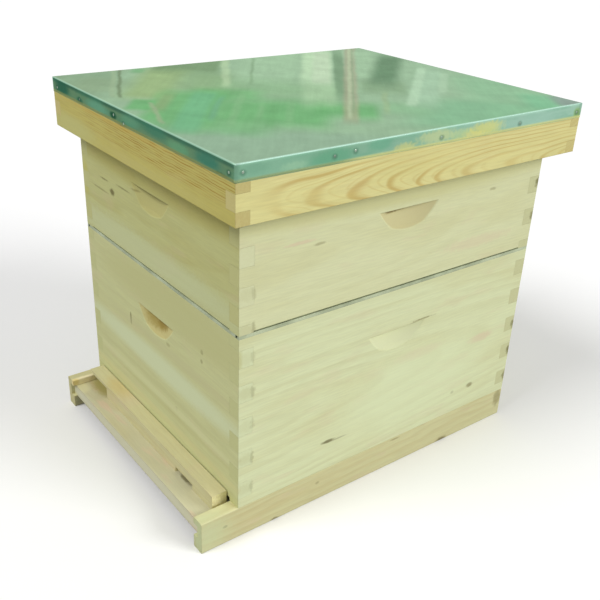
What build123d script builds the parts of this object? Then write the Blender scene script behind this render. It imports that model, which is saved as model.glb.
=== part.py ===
"""A ten-frame beehive: bottom board, deep brood box, queen excluder, medium super, inner cover and roof.

Millimetres, +Z up. The entrance faces -Y, and left and right are as seen by someone facing the entrance.
The origin lies on the ground, under the middle of the whole hive.
"""
from build123d import *
from math import asin, cos, sin
import os

# Hive boxes: two finger-jointed boxes of one plan size, the deep one below the medium one
box_width = 413.0
box_length = 505.0
wall = 20.0
deep_height = 245.0
medium_height = 169.0

# Finger joints of the boxes: the lowest finger is cut short, the others are whole
finger = 24.0
deep_first_finger = 14.0
medium_first_finger = 12.0

# Lower edges between the corner fingers, planed back so that the corners carry the weight
entrance_relief = 4.0
super_end_relief = 1.5
super_side_relief = 2.0

# Handhold routed in each wall: level above, growing shallower down to its foot, which runs out to the surface
handhold_below_top = 60.0
handhold_width = 102.0
handhold_web = 8.0
handhold_height = 24.0
handhold_foot_depth = 4.0
handhold_foot_height = 6.0
handhold_arcs = 9
handhold_depth = wall - handhold_web

# Rabbets that carry the frames, and the metal rest folded over their edge
rabbet_depth = 16.0
rabbet_width = wall / 2
rest_thickness = 0.8
rest_lip = 8.0
rest_end_gap = 1.0

# Bottom board: grooved rails, planks between them, cleats that close the rear
rail_width = 19.0
rail_height = 47.5
rail_easing = 1.5
landing_length = 54.0
floor_thickness = 19.0
floor_below_rails = 9.5
floor_recess = 5.0
floor_groove = rail_width / 2
plank_count = 3
tongue_length = 6.0
tongue_thickness = 6.0
cleat_depth = 19.0

# Entrance reducer: a loose bar with a wide notch at its left end and a small one near its right end
reducer_size = 22.0
reducer_end_gap = 5.5
reducer_back_gap = 1.5
wide_notch_width = 58.0
wide_notch_height = 17.0
small_notch_width = 45.0
small_notch_height = 7.5
small_notch_inset = 50.0

# Frames, with shouldered end bars that space them. They take their lengths from the box that they hang in:
# the outer ones clear its sides, their ends clear its walls, and bees pass between two top bars
frame_count = 10
frame_side_gap = 11.5
frame_end_gap = 8.5
deep_frame_gap = 7.8
medium_frame_gap = 4.8
bee_space = 8.0
lug_end_gap = 1.5
lug_shoulder = 2.5
lug_height = 10.0
top_bar_height = 19.0
end_bar_thickness = 10.0
arm_drop = 3.0
shoulder_length = 80.0
shoulder_taper = 14.0
bottom_bar_inset = 4.0
bottom_bar_height = 10.0
foundation_thickness = 2.0
foundation_groove = 3.0
foundation_end_gap = 1.0

frame_pitch = (box_width - 2 * (wall + frame_side_gap)) / frame_count
frame_length = box_length - 2 * (wall + frame_end_gap)
frame_drop = rabbet_depth - rest_thickness - lug_height
deep_frame_height = deep_height - frame_drop - deep_frame_gap
medium_frame_height = medium_height - frame_drop - medium_frame_gap
top_bar_length = box_length - 2 * (wall - rabbet_width + lug_end_gap)
top_bar_width = frame_pitch - bee_space
lug_width = top_bar_width - 2 * lug_shoulder
end_bar_lower_width = top_bar_width
bottom_bar_width = top_bar_width - 2 * bottom_bar_inset

# Queen excluder: a grid of round wires on flat ties, in a folded edge band
band_thickness = 0.5
band_flange = 9.0
band_seam = 4.0
band_seam_inset = 3.0
wire_diameter = 2.2
wire_pitch = 6.4
wire_sides = 12
wire_end_gap = 1.0
wire_top_gap = 0.1
tie_count = 5
tie_width = 4.0
tie_height = 1.2
excluder_height = 2 * band_thickness + tie_height + wire_diameter + wire_top_gap

# Inner cover: grooved rim round a thin panel
inner_height = 25.0
inner_rim_width = 44.0
inner_panel_thickness = 6.0
inner_groove = 10.0
inner_hole_length = 95.0
inner_hole_width = 32.0

# Roof: finger-jointed rim that hangs over the super, panel, and a sheet folded over the top. It lies loose in
# its gap, a little towards the rear
roof_gap = 8.0
roof_setback = 4.0
roof_wall = 18.0
roof_height = 67.0
roof_panel_thickness = 18.0
roof_finger = 19.5
roof_first_finger = 16.5
sheet_thickness = 0.6
apron_height = 20.0

# Every cut runs this far past the surface that it opens
overrun = 1.0

# Levels of the stack, from the ground up
floor_top = rail_height - floor_below_rails
floor_base = floor_top - floor_thickness
deep_base = rail_height
excluder_base = deep_base + deep_height
medium_base = excluder_base + excluder_height
inner_base = medium_base + medium_height
roof_panel_base = inner_base + inner_height
roof_top = roof_panel_base + roof_panel_thickness
roof_base = roof_top - roof_height

# Half sizes in plan, and the roof's outer size
half_width = box_width / 2
half_length = box_length / 2
roof_width = box_width + 2 * (roof_gap + roof_wall)
roof_length = box_length + 2 * (roof_gap + roof_wall)

# The landing board reaches further forward than the roof does to the rear, so the boxes stand off centre
front_reach = half_length + landing_length
rear_reach = roof_length / 2 + sheet_thickness + roof_setback
box_y = (front_reach - rear_reach) / 2

UP = Vector(0, 0, 1)
FRONT = Vector(0, -1, 0)
REAR = Vector(0, 1, 0)
LEFT = Vector(-1, 0, 0)
RIGHT = Vector(1, 0, 0)


def save(piece, name):
    """Labels a finished piece and writes it under its own name."""
    piece.label = name
    export_step(piece, f"parts/{name}.step")


def facing(outward, reach, height, setback=0):
    """A plane that faces outward, upright, at a distance from the boxes' middle line and at a height."""
    middle = Vector(0, box_y + setback, height)
    return Plane(origin=middle + outward * reach, x_dir=UP.cross(outward), z_dir=outward)


def level(height, setback=0):
    """A level plane at a height, centred on the boxes."""
    return Plane(origin=(0, box_y + setback, height), z_dir=UP)


def finger_spans(height, first, step):
    """The lowest and highest point of each finger up a corner of this height."""
    bounds = [0, first]
    while bounds[-1] + step < height:
        bounds.append(bounds[-1] + step)
    bounds.append(height)
    return list(zip(bounds, bounds[1:]))


def jointed_outline(length, height, thickness, spans, owns_first, relief):
    """Draws a board's face, notched at both ends where the neighbour's fingers pass through."""
    with Locations((0, height / 2)):
        Rectangle(length, height)
    for index, (low, high) in enumerate(spans):
        if (index % 2 == 0) == owns_first:
            continue
        with Locations((0, (low + high) / 2)):
            with GridLocations(length - thickness, 0, 2, 1):
                Rectangle(thickness, high - low, mode=Mode.SUBTRACT)
    if relief > 0:
        with Locations((0, relief / 2)):
            Rectangle(length - 2 * thickness, relief, mode=Mode.SUBTRACT)


def cut_handhold(outward, reach, height):
    """Scoops a handhold with a level upper edge: an upright cylinder that leaves the wall as it goes down."""
    radius = (handhold_width**2 / 4 + handhold_depth**2) / (2 * handhold_depth)
    half_angle = asin(handhold_width / 2 / radius)
    bounds = [half_angle * (2 * number / handhold_arcs - 1) for number in range(handhold_arcs + 1)]
    foot = height - handhold_height
    stages = (
        (height, handhold_depth, handhold_foot_depth, handhold_height),
        (foot, handhold_foot_depth, 0, handhold_foot_height),
    )
    for top, depth, end_depth, drop in stages:
        centre = Vector(0, box_y, top) + outward * (reach + radius - depth)
        slope = outward * (depth - end_depth) - UP * drop
        with BuildSketch(Plane(origin=centre, x_dir=outward * -1, z_dir=UP)) as mouth:
            with BuildLine():
                for start, end in zip(bounds, bounds[1:]):
                    places = [Vector(cos(angle), sin(angle)) * radius for angle in (start, (start + end) / 2, end)]
                    ThreePointArc(*places)
                last = Vector(cos(half_angle), sin(half_angle)) * radius
                beyond = Vector(last.X - handhold_depth - overrun, last.Y)
                Polyline(last, beyond, Vector(beyond.X, -last.Y), Vector(last.X, -last.Y))
            make_face()
        extrude(mouth.sketch, amount=slope.length, dir=slope.normalized(), mode=Mode.SUBTRACT)


def box_wall(outward, base, height, spans, owns_first, relief):
    """One wall of a hive box. The end walls carry the frames, so they have the rabbets."""
    is_end = abs(outward.Y) > 0
    length = box_width if is_end else box_length
    outer = half_length if is_end else half_width
    with BuildPart() as board:
        with BuildSketch(facing(outward, outer - wall, base)):
            jointed_outline(length, height, wall, spans, owns_first, relief)
        extrude(amount=wall)
        cut_handhold(outward, outer, base + height - handhold_below_top)
        if is_end:
            with BuildSketch(facing(outward, outer - wall, base + height - rabbet_depth / 2)):
                Rectangle(length - 2 * wall, rabbet_depth)
            extrude(amount=rabbet_width, mode=Mode.SUBTRACT)
    return board.part


def frame_rest(outward, base, height):
    """A metal strip on the rabbet's ledge, folded down over its inner edge."""
    ledge = base + height - rabbet_depth
    inner = half_length - wall
    length = box_width - 2 * (wall + rest_end_gap)
    with BuildPart() as rest:
        with BuildSketch(facing(outward, inner - rest_thickness, ledge + rest_thickness / 2)):
            Rectangle(length, rest_thickness)
        extrude(amount=rabbet_width + rest_thickness)
        with BuildSketch(facing(outward, inner - rest_thickness, ledge - rest_lip / 2)):
            Rectangle(length, rest_lip)
        extrude(amount=rest_thickness)
    return rest.part


def make_box(name, base, height, first_finger, ends_own_first, reliefs):
    """Four finger-jointed walls and two frame rests. The reliefs are the front, rear and side walls' own."""
    spans = finger_spans(height, first_finger, finger)
    front_relief, rear_relief, side_relief = reliefs
    save(box_wall(FRONT, base, height, spans, ends_own_first, front_relief), f"{name}_front")
    save(box_wall(REAR, base, height, spans, ends_own_first, rear_relief), f"{name}_rear")
    save(box_wall(LEFT, base, height, spans, not ends_own_first, side_relief), f"{name}_left")
    save(box_wall(RIGHT, base, height, spans, not ends_own_first, side_relief), f"{name}_right")
    save(frame_rest(FRONT, base, height), f"{name}_front_rest")
    save(frame_rest(REAR, base, height), f"{name}_rear_rest")


def rail(outward):
    """A long runner of the bottom board, grooved on its inner side for the floor."""
    with BuildPart() as runner:
        with BuildSketch(facing(FRONT, front_reach, 0)):
            with Locations((outward.X * (half_width - rail_width / 2), rail_height / 2)):
                outline = Rectangle(rail_width, rail_height)
            fillet(outline.vertices(), radius=rail_easing)
            groove_middle = half_width - rail_width + floor_groove / 2
            with Locations((outward.X * groove_middle, floor_base + floor_thickness / 2)):
                Rectangle(floor_groove, floor_thickness, mode=Mode.SUBTRACT)
        extrude(amount=-(front_reach + half_length))
    return runner.part


def floor_plank(index):
    """One cross plank of the floor, counted from the entrance, tongued into the next."""
    total = front_reach - floor_recess + half_length
    depth = total / plank_count
    front_y = -front_reach + floor_recess + index * depth
    middle_z = floor_base + floor_thickness / 2
    left_edge = -half_width + rail_width - floor_groove
    with BuildPart() as plank:
        with BuildSketch(Plane(origin=(left_edge, box_y, 0), x_dir=REAR, z_dir=RIGHT)):
            with Locations((front_y + depth / 2, middle_z)):
                Rectangle(depth, floor_thickness)
            if index > 0:
                with Locations((front_y + tongue_length / 2, middle_z)):
                    Rectangle(tongue_length, tongue_thickness, mode=Mode.SUBTRACT)
            if index < plank_count - 1:
                with Locations((front_y + depth + tongue_length / 2, middle_z)):
                    Rectangle(tongue_length, tongue_thickness)
        extrude(amount=-2 * left_edge)
    return plank.part


def cleat(base, height):
    """A strip between the rails at the rear."""
    with BuildPart() as strip:
        with BuildSketch(facing(REAR, half_length - cleat_depth, base + height / 2)):
            Rectangle(box_width - 2 * rail_width, height)
        extrude(amount=cleat_depth)
    return strip.part


def entrance_reducer():
    """The loose bar on the landing board, notched from below."""
    left_end = -half_width + rail_width
    right_end = half_width - rail_width - reducer_end_gap
    small_notch_middle = right_end - small_notch_inset - small_notch_width / 2
    with BuildPart() as bar:
        with BuildSketch(facing(FRONT, half_length + reducer_back_gap, floor_top)):
            with Locations(((left_end + right_end) / 2, reducer_size / 2)):
                Rectangle(right_end - left_end, reducer_size)
            with Locations((left_end + wide_notch_width / 2, wide_notch_height / 2)):
                Rectangle(wide_notch_width, wide_notch_height, mode=Mode.SUBTRACT)
            with Locations((small_notch_middle, small_notch_height / 2)):
                Rectangle(small_notch_width, small_notch_height, mode=Mode.SUBTRACT)
        extrude(amount=reducer_size)
    return bar.part


def top_bar(x, top):
    """The bar that a frame hangs by, thinned to a lug at each end and grooved below for the foundation."""
    body_length = frame_length - 2 * end_bar_thickness
    with BuildPart() as bar:
        with BuildSketch(level(top)):
            with Locations((x, 0)):
                Rectangle(lug_width, top_bar_length)
        extrude(amount=-lug_height)
        with BuildSketch(level(top)):
            with Locations((x, 0)):
                Rectangle(top_bar_width, body_length)
        extrude(amount=-top_bar_height)
        with BuildSketch(level(top - top_bar_height)):
            with Locations((x, 0)):
                Rectangle(foundation_thickness, body_length)
        extrude(amount=foundation_groove, mode=Mode.SUBTRACT)
    return bar.part


def end_bar(x, front_y, top, height):
    """A shouldered upright, forked round the top bar's neck and notched for the bottom bar."""
    shoulder_half = frame_pitch / 2
    lower_half = end_bar_lower_width / 2
    shoulder_base = height - shoulder_length
    arm_top = height - arm_drop
    slot_depth = lug_height - arm_drop
    with BuildPart() as bar:
        with BuildSketch(Plane(origin=(x, box_y + front_y, top - height), x_dir=RIGHT, z_dir=FRONT)):
            with BuildLine():
                Polyline(
                    (0, 0),
                    (lower_half, 0),
                    (lower_half, shoulder_base - shoulder_taper),
                    (shoulder_half, shoulder_base),
                    (shoulder_half, arm_top),
                    (0, arm_top),
                )
                mirror(about=Plane.YZ)
            make_face()
            with Locations((0, arm_top - slot_depth / 2)):
                Rectangle(lug_width, slot_depth, mode=Mode.SUBTRACT)
            with Locations((0, bottom_bar_height / 2)):
                Rectangle(bottom_bar_width, bottom_bar_height, mode=Mode.SUBTRACT)
        extrude(amount=-end_bar_thickness)
    return bar.part


def bottom_bar(x, base):
    """The bar that closes a frame below, grooved above for the foundation."""
    with BuildPart() as bar:
        with BuildSketch(Plane(origin=(x, box_y - frame_length / 2, base), x_dir=RIGHT, z_dir=FRONT)):
            with Locations((0, bottom_bar_height / 2)):
                Rectangle(bottom_bar_width, bottom_bar_height)
            with Locations((0, bottom_bar_height - foundation_groove / 2)):
                Rectangle(foundation_thickness, foundation_groove, mode=Mode.SUBTRACT)
        extrude(amount=-frame_length)
    return bar.part


def foundation(x, top, height):
    """The sheet held in the grooves of the top and bottom bars."""
    sheet_height = height - top_bar_height - bottom_bar_height + 2 * foundation_groove
    with BuildPart() as sheet:
        with BuildSketch(level(top - height + bottom_bar_height - foundation_groove)):
            with Locations((x, 0)):
                Rectangle(foundation_thickness, frame_length - 2 * (end_bar_thickness + foundation_end_gap))
        extrude(amount=sheet_height)
    return sheet.part


def make_frames(name, box_top, height):
    """A box full of frames, hung by their lugs on the frame rests."""
    top = box_top - frame_drop
    sheets = []
    for number in range(frame_count):
        x = (number - (frame_count - 1) / 2) * frame_pitch
        front_bar = end_bar(x, -frame_length / 2, top, height)
        rear_bar = end_bar(x, frame_length / 2 - end_bar_thickness, top, height)
        pieces = [top_bar(x, top), front_bar, rear_bar, bottom_bar(x, top - height)]
        save(Compound(children=pieces), f"{name}_frame_{number + 1}")
        sheets.append(foundation(x, top, height))
    save(Compound(children=sheets), f"{name}_foundations")


def excluder_band():
    """A sheet strip folded round the grid's edge, with an open seam beside each corner."""
    with BuildPart() as band:
        with BuildSketch(level(excluder_base)):
            Rectangle(box_width, box_length)
            Rectangle(box_width - 2 * band_flange, box_length - 2 * band_flange, mode=Mode.SUBTRACT)
        extrude(amount=excluder_height)
        with BuildSketch(level(excluder_base + band_thickness)):
            Rectangle(box_width - 2 * band_thickness, box_length - 2 * band_thickness)
        extrude(amount=excluder_height - 2 * band_thickness, mode=Mode.SUBTRACT)
        with BuildSketch(level(excluder_base + band_thickness)):
            with GridLocations(box_width - 2 * band_seam_inset - band_seam, box_length, 2, 2):
                Rectangle(band_seam, 2 * band_thickness)
        extrude(amount=excluder_height - 2 * band_thickness, mode=Mode.SUBTRACT)
    return band.part


def excluder_wires():
    """The parallel wires, spaced so that workers pass and the queen doesn't. Each lies on the ties."""
    wire_count = int((box_width - 2 * band_flange) / wire_pitch) + 1
    middle_z = excluder_base + band_thickness + tie_height + wire_diameter / 2
    end = half_length - band_thickness - wire_end_gap
    with BuildPart() as wires:
        with BuildSketch(facing(FRONT, end, middle_z)):
            with GridLocations(wire_pitch, 0, wire_count, 1):
                RegularPolygon(wire_diameter / 2, wire_sides, major_radius=False, rotation=180 / wire_sides)
        extrude(amount=-2 * end)
    return wires.part


def excluder_ties():
    """The flat strips that the wires are welded to."""
    spacing = (box_length - 2 * band_flange) / (tie_count + 1)
    with BuildPart() as ties:
        with BuildSketch(level(excluder_base + band_thickness)):
            with GridLocations(0, spacing, 1, tie_count):
                Rectangle(box_width - 2 * (band_thickness + wire_end_gap), tie_width)
        extrude(amount=tie_height)
    return ties.part


def inner_rim(outward):
    """A grooved board of the inner cover's rim. The front and rear ones run the whole width."""
    is_end = abs(outward.Y) > 0
    length = box_width if is_end else box_length - 2 * inner_rim_width
    outer = half_length if is_end else half_width
    across = UP.cross(outward)
    start = Vector(0, box_y, inner_base) + outward * outer - across * (length / 2)
    with BuildPart() as board:
        with BuildSketch(Plane(origin=start, x_dir=outward * -1, z_dir=across)):
            with Locations((inner_rim_width / 2, inner_height / 2)):
                Rectangle(inner_rim_width, inner_height)
            with Locations((inner_rim_width - inner_groove / 2, inner_height / 2)):
                Rectangle(inner_groove, inner_panel_thickness, mode=Mode.SUBTRACT)
        extrude(amount=length)
    return board.part


def inner_panel():
    """The inner cover's panel, with the oval hole for feeding and air."""
    margin = inner_rim_width - inner_groove
    with BuildPart() as panel:
        with BuildSketch(level(inner_base + (inner_height - inner_panel_thickness) / 2)):
            Rectangle(box_width - 2 * margin, box_length - 2 * margin)
            SlotOverall(inner_hole_length, inner_hole_width, rotation=90, mode=Mode.SUBTRACT)
        extrude(amount=inner_panel_thickness)
    return panel.part


def roof_rim(outward):
    """A finger-jointed board of the roof's rim. The end boards own the lowest finger."""
    is_end = abs(outward.Y) > 0
    length = roof_width if is_end else roof_length
    outer = roof_length / 2 if is_end else roof_width / 2
    spans = finger_spans(roof_height, roof_first_finger, roof_finger)
    with BuildPart() as board:
        with BuildSketch(facing(outward, outer - roof_wall, roof_base, roof_setback)):
            jointed_outline(length, roof_height, roof_wall, spans, is_end, 0)
        extrude(amount=roof_wall)
    return board.part


def roof_panel():
    """The boarded top that rests on the inner cover."""
    with BuildPart() as panel:
        with BuildSketch(level(roof_panel_base, roof_setback)):
            Rectangle(roof_width - 2 * roof_wall, roof_length - 2 * roof_wall)
        extrude(amount=roof_panel_thickness)
    return panel.part


def roof_sheet():
    """The metal sheet over the roof, folded down all round."""
    with BuildPart() as sheet:
        with BuildSketch(level(roof_top + sheet_thickness, roof_setback)):
            Rectangle(roof_width + 2 * sheet_thickness, roof_length + 2 * sheet_thickness)
        extrude(amount=-apron_height)
        with BuildSketch(level(roof_top, roof_setback)):
            Rectangle(roof_width, roof_length)
        extrude(amount=-apron_height, mode=Mode.SUBTRACT)
    return sheet.part


os.makedirs("parts", exist_ok=True)

save(rail(LEFT), "left_rail")
save(rail(RIGHT), "right_rail")
for plank_number in range(plank_count):
    save(floor_plank(plank_number), f"floor_plank_{plank_number + 1}")
save(cleat(floor_top, floor_below_rails), "upper_cleat")
save(cleat(0, floor_base), "lower_cleat")
save(entrance_reducer(), "entrance_reducer")

make_box("brood", deep_base, deep_height, deep_first_finger, False, (entrance_relief, 0, 0))
make_frames("deep", deep_base + deep_height, deep_frame_height)

save(excluder_band(), "excluder_band")
save(excluder_wires(), "excluder_wires")
save(excluder_ties(), "excluder_ties")

super_reliefs = (super_end_relief, super_end_relief, super_side_relief)
make_box("super", medium_base, medium_height, medium_first_finger, True, super_reliefs)
make_frames("medium", medium_base + medium_height, medium_frame_height)

for side, outward_side in (("front", FRONT), ("rear", REAR), ("left", LEFT), ("right", RIGHT)):
    save(inner_rim(outward_side), f"inner_{side}_rim")
    save(roof_rim(outward_side), f"roof_{side}_rim")
save(inner_panel(), "inner_panel")
save(roof_panel(), "roof_panel")
save(roof_sheet(), "roof_sheet")
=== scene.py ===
# %% [markdown]
# A beehive of bare pine with a metal roof, dressed for its portrait. The solids come from the
# construction model, so this lesson is about what they are made of: pine with its growth rings,
# galvanised sheet with its dents and nails, folded zinc strip and waxed foundation. The pieces
# stay where the construction model put them, in metres, with the entrance towards -Y.

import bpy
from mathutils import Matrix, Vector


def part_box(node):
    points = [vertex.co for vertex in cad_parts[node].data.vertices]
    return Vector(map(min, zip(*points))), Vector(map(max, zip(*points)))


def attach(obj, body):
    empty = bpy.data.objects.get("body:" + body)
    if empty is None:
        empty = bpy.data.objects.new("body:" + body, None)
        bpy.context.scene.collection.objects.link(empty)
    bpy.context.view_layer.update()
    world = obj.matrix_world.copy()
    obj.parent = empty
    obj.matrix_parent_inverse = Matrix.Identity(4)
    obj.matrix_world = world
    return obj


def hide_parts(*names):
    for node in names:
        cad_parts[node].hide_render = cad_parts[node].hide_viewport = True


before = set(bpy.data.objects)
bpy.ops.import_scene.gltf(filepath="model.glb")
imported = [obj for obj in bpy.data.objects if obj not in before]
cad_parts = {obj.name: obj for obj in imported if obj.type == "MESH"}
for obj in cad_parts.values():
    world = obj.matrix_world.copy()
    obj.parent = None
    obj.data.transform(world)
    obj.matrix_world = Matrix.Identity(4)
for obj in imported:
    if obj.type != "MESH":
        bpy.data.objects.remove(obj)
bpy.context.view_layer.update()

# %% [markdown]
# A hive is measured in millimetres, and Blender works in metres. One named value turns the first
# into the second. The middle of the boxes lies a little behind the origin, because the landing
# board reaches further forward than the roof does to the rear, so it is read from a box's wall.

# %% Units and places
import bmesh
import bpy
import math
from mathutils import Matrix, Vector, noise

mm = 0.001


def middle(node):
    """The centre of a node's box, in metres."""
    low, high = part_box(node)
    return (Vector(low) + Vector(high)) / 2


def add_object(name, data):
    """A new object of the scene, for a mesh, a lamp or a camera."""
    made = bpy.data.objects.new(name, data)
    bpy.context.scene.collection.objects.link(made)
    return made


box_y = middle("brood_left").y
roof_low, roof_high = (Vector(corner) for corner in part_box("roof_sheet"))
print("boxes' middle at y", round(box_y / mm, 2), "mm")

# %% [markdown]
# The camera stands at the height of a person's chest, in front of the right front corner, and
# looks down at the hive. Its place, its lens and the slight lean of the picture were worked out
# from the hive's corners in the photograph, so that each corner falls where it does there.

# %% Camera
camera_place = Vector((874.67, -676.76, 746.73)) * mm
camera_heading = math.radians(52.036)
camera_tilt = math.radians(90 - 26.675)
camera_lean = math.radians(2.459)
lens_pixels = 806.45
picture_pixels = 600

camera_data = bpy.data.cameras.new("photographer")
camera_data.sensor_width = 36.0
camera_data.lens = camera_data.sensor_width * lens_pixels / picture_pixels
camera = add_object("photographer", camera_data)
turn = Matrix.Rotation(camera_heading, 4, "Z") @ Matrix.Rotation(camera_tilt, 4, "X")
camera.matrix_world = Matrix.Translation(camera_place) @ turn @ Matrix.Rotation(camera_lean, 4, "Z")
bpy.context.scene.camera = camera
print("lens", round(camera_data.lens, 2), "mm")

# %% [markdown]
# Materials are trees of small nodes. A few helpers keep the recipes short: they add a node and
# feed it, do arithmetic on two sockets, mix two colours, ease a value from low to high, or make
# noise. Most find the tree through the sockets that they are given. Colours are written as a
# painter would pick them from a screen, red, green and blue from 0 to 255, and mixing turns them
# into the linear values that the renderer counts in.

# %% Node helpers


def tone(red, green, blue):
    """A screen colour from 0 to 255, as a linear colour with full opacity."""
    def linear(value):
        share = value / 255
        return share / 12.92 if share <= 0.04045 else ((share + 0.055) / 1.055) ** 2.4
    return (linear(red), linear(green), linear(blue), 1.0)


def feed(node, feeds):
    """Feeds a node's inputs with values or with other nodes' outputs."""
    for key, value in feeds.items():
        socket = node.inputs[key]
        if isinstance(value, bpy.types.NodeSocket):
            node.id_data.links.new(value, socket)
        else:
            socket.default_value = value


def add(tree, kind, feeds=None, **settings):
    """Adds a shader node of a kind, sets it up and feeds it."""
    made = tree.nodes.new("ShaderNode" + kind)
    for key, value in settings.items():
        setattr(made, key, value)
    feed(made, feeds or {})
    return made


def join(kind, feeds, **settings):
    """Adds a node to the same tree as the sockets that feed it."""
    sockets = (value for value in feeds.values() if isinstance(value, bpy.types.NodeSocket))
    return add(next(sockets).id_data, kind, feeds, **settings)


def vector_calc(operation, first, second):
    """Arithmetic on two vectors, part by part."""
    return join("VectorMath", {0: first, 1: second}, operation=operation).outputs[0]


def calc(operation, first, second=0.0):
    """Arithmetic on one or two numbers or sockets."""
    return join("Math", {0: first, 1: second}, operation=operation).outputs[0]


def times(first, second):
    """One number or socket multiplied by another."""
    return calc("MULTIPLY", first, second)


def plus(first, second):
    """The sum of two numbers or sockets."""
    return calc("ADD", first, second)


def minus(first, second):
    """The first number or socket less the second."""
    return calc("SUBTRACT", first, second)


def mix(share, *colours, blend="MIX"):
    """Mixes two colours by a share from 0 to 1. Three plain numbers are a screen colour."""
    first, second = (tone(*c) if isinstance(c, tuple) and len(c) == 3 else c for c in colours)
    feeds = {0: share, 6: first, 7: second}
    return join("Mix", feeds, data_type="RGBA", blend_type=blend).outputs[2]


def ease(value, start, end, low=0.0, high=1.0):
    """Rises smoothly from low to high while a value goes from start to end."""
    feeds = {"Value": value, "From Min": start, "From Max": end, "To Min": low, "To Max": high}
    return join("MapRange", feeds, interpolation_type="SMOOTHSTEP").outputs[0]


def combine(x, y, z):
    """A vector from three numbers or sockets."""
    return join("CombineXYZ", {0: x, 1: y, 2: z}).outputs[0]


def spread(vector, size):
    """A vector multiplied by a number, to make a pattern finer or coarser."""
    return join("VectorMath", {0: vector, "Scale": size}, operation="SCALE").outputs[0]


def length(vector):
    """How long a vector is."""
    return join("VectorMath", {0: vector}, operation="LENGTH").outputs[1]


def ripple(vector, detail=2.0, roughness=0.5):
    """Smooth noise from 0 to 1 on a vector."""
    feeds = {"Vector": vector, "Scale": 1.0, "Detail": detail, "Roughness": roughness}
    return join("TexNoise", feeds).outputs[0]


print("first helpers ready")

# %% [markdown]
# On these rest the helpers for a whole material. They start it, tell where on the object a point
# lies and which way its surface looks, and make a pattern look raised or an edge look rounded.

# %% Material helpers


def start_material(name):
    """A new material with only a Principled shader and its output."""
    material = bpy.data.materials.new(name)
    material.use_nodes = True
    tree = material.node_tree
    tree.nodes.clear()
    shader = add(tree, "BsdfPrincipled")
    add(tree, "OutputMaterial", {0: shader.outputs[0]})
    return material, tree, shader


def millimetres(tree):
    """The place on the object in millimetres, as a vector and as its three parts."""
    scaled = spread(add(tree, "TexCoord").outputs["Object"], 1 / mm)
    parts = add(tree, "SeparateXYZ", {0: scaled}).outputs
    return scaled, {"x": parts[0], "y": parts[1], "z": parts[2]}


def facing(tree):
    """The three parts of the direction in which a surface looks."""
    normal = add(tree, "TexCoord").outputs["Normal"]
    return add(tree, "SeparateXYZ", {0: normal}).outputs


def shaded(colour, share):
    """A colour made darker or lighter by a number."""
    grey = join("CombineColor", {0: share, 1: share, 2: share}).outputs[0]
    return mix(1.0, colour, grey, blend="MULTIPLY")


def relief(height, strength, depth, **base):
    """A surface on which light falls as if a pattern were raised by so many millimetres."""
    feeds = {"Strength": strength, "Distance": depth * mm, "Height": height} | base
    return join("Bump", feeds).outputs[0]


def rounded(tree, radius):
    """A surface whose edges look rounded by so many millimetres."""
    return add(tree, "Bevel", {"Radius": radius * mm}, samples=4).outputs[0]


print("material helpers ready")

# %% [markdown]
# Pine is not a picture glued on a board. A trunk lays down a pale ring in spring and a darker,
# harder one in summer, round its pith, and a board is a slice through those rings. So the recipe
# measures the distance from a pith line that runs beside the board, and turns it into rings. Cut
# along the trunk they show as lines or arches, cut across they show as arcs on the fingers' ends,
# and both come from the same few numbers.

# %% Growth rings
wave_scales = 0.005, 0.016
wave_reach = 16.0
uneven_scale, uneven_reach = 0.45, 1.8
summer_start, summer_full, summer_over = 0.10, 0.80, 0.84
summer_power = 1.4


def growth_rings(lengths, board):
    """The share of summer wood, from the distance to the pith line, uneven and slightly wavy."""
    along, across, deep = lengths
    seed = board["seed"]
    wave_place = combine(
        times(along, board.get("wave_along", wave_scales[0])), times(across, wave_scales[1]),
        plus(times(deep, wave_scales[1]), seed))
    wave = minus(ripple(wave_place), 0.5)
    drift = times(along, board.get("drift", 0.0))
    side = plus(minus(across, board["pith"][0]), drift)
    lean = times(along, board.get("lean", 0.0))
    depth = plus(minus(deep, board["pith"][1]), lean)
    reach = length(combine(side, depth, 0.0))
    reach = plus(reach, times(wave, board.get("wave", wave_reach)))
    count = calc("DIVIDE", reach, board["spacing"])
    uneven = ripple(combine(times(count, uneven_scale), seed, 0.0), 1.0)
    share = calc("FRACT", plus(count, times(uneven, uneven_reach)))
    rise = ease(share, board.get("crisp", summer_start), summer_full)
    fall = ease(share, summer_over, 1.0, 1.0, 0.0)
    return times(calc("POWER", rise, summer_power), fall)


print("a ring's summer wood starts at", summer_start, "of its width")

# %% [markdown]
# What makes a board a certain board are its marks: a knot, a short crack, a streak of resin. Each
# is a soft round tone about a place in the hive, as wide and high as it reaches, with an edge made
# ragged by noise. A handhold is scooped deeper, through more rings, and gets a tone of its own,
# partly that of the cut wood and partly painted shade.

# %% Marks and scoops
scoop_skin, scoop_sure = 0.2, 1.4
scoop_half_width, scoop_half_height, scoop_drop = 62.0, 26.0, 16.0
scoop_soft = 2.0
mark_core = 0.35
ragged_scale = 0.22


def tint_scoop(parts, colour, scoop):
    """Another tone inside a handhold, partly the cut wood's and partly painted shade, wherever the wall stands
    back from its face near the scoop.
    """
    if not scoop:
        return colour
    thin, face, inward, wide, centre, top, dark, share = scoop
    depth = times(minus(parts[thin], face), inward)
    inside = ease(depth, scoop_skin, scoop_sure, 0.0, share)
    for axis, place, half in ((wide, centre, scoop_half_width), ("z", top - scoop_drop, scoop_half_height)):
        off = calc("ABSOLUTE", minus(parts[axis], place))
        inside = times(inside, ease(off, half - scoop_soft, half, 1.0, 0.0))
    return mix(inside, colour, dark)


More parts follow.
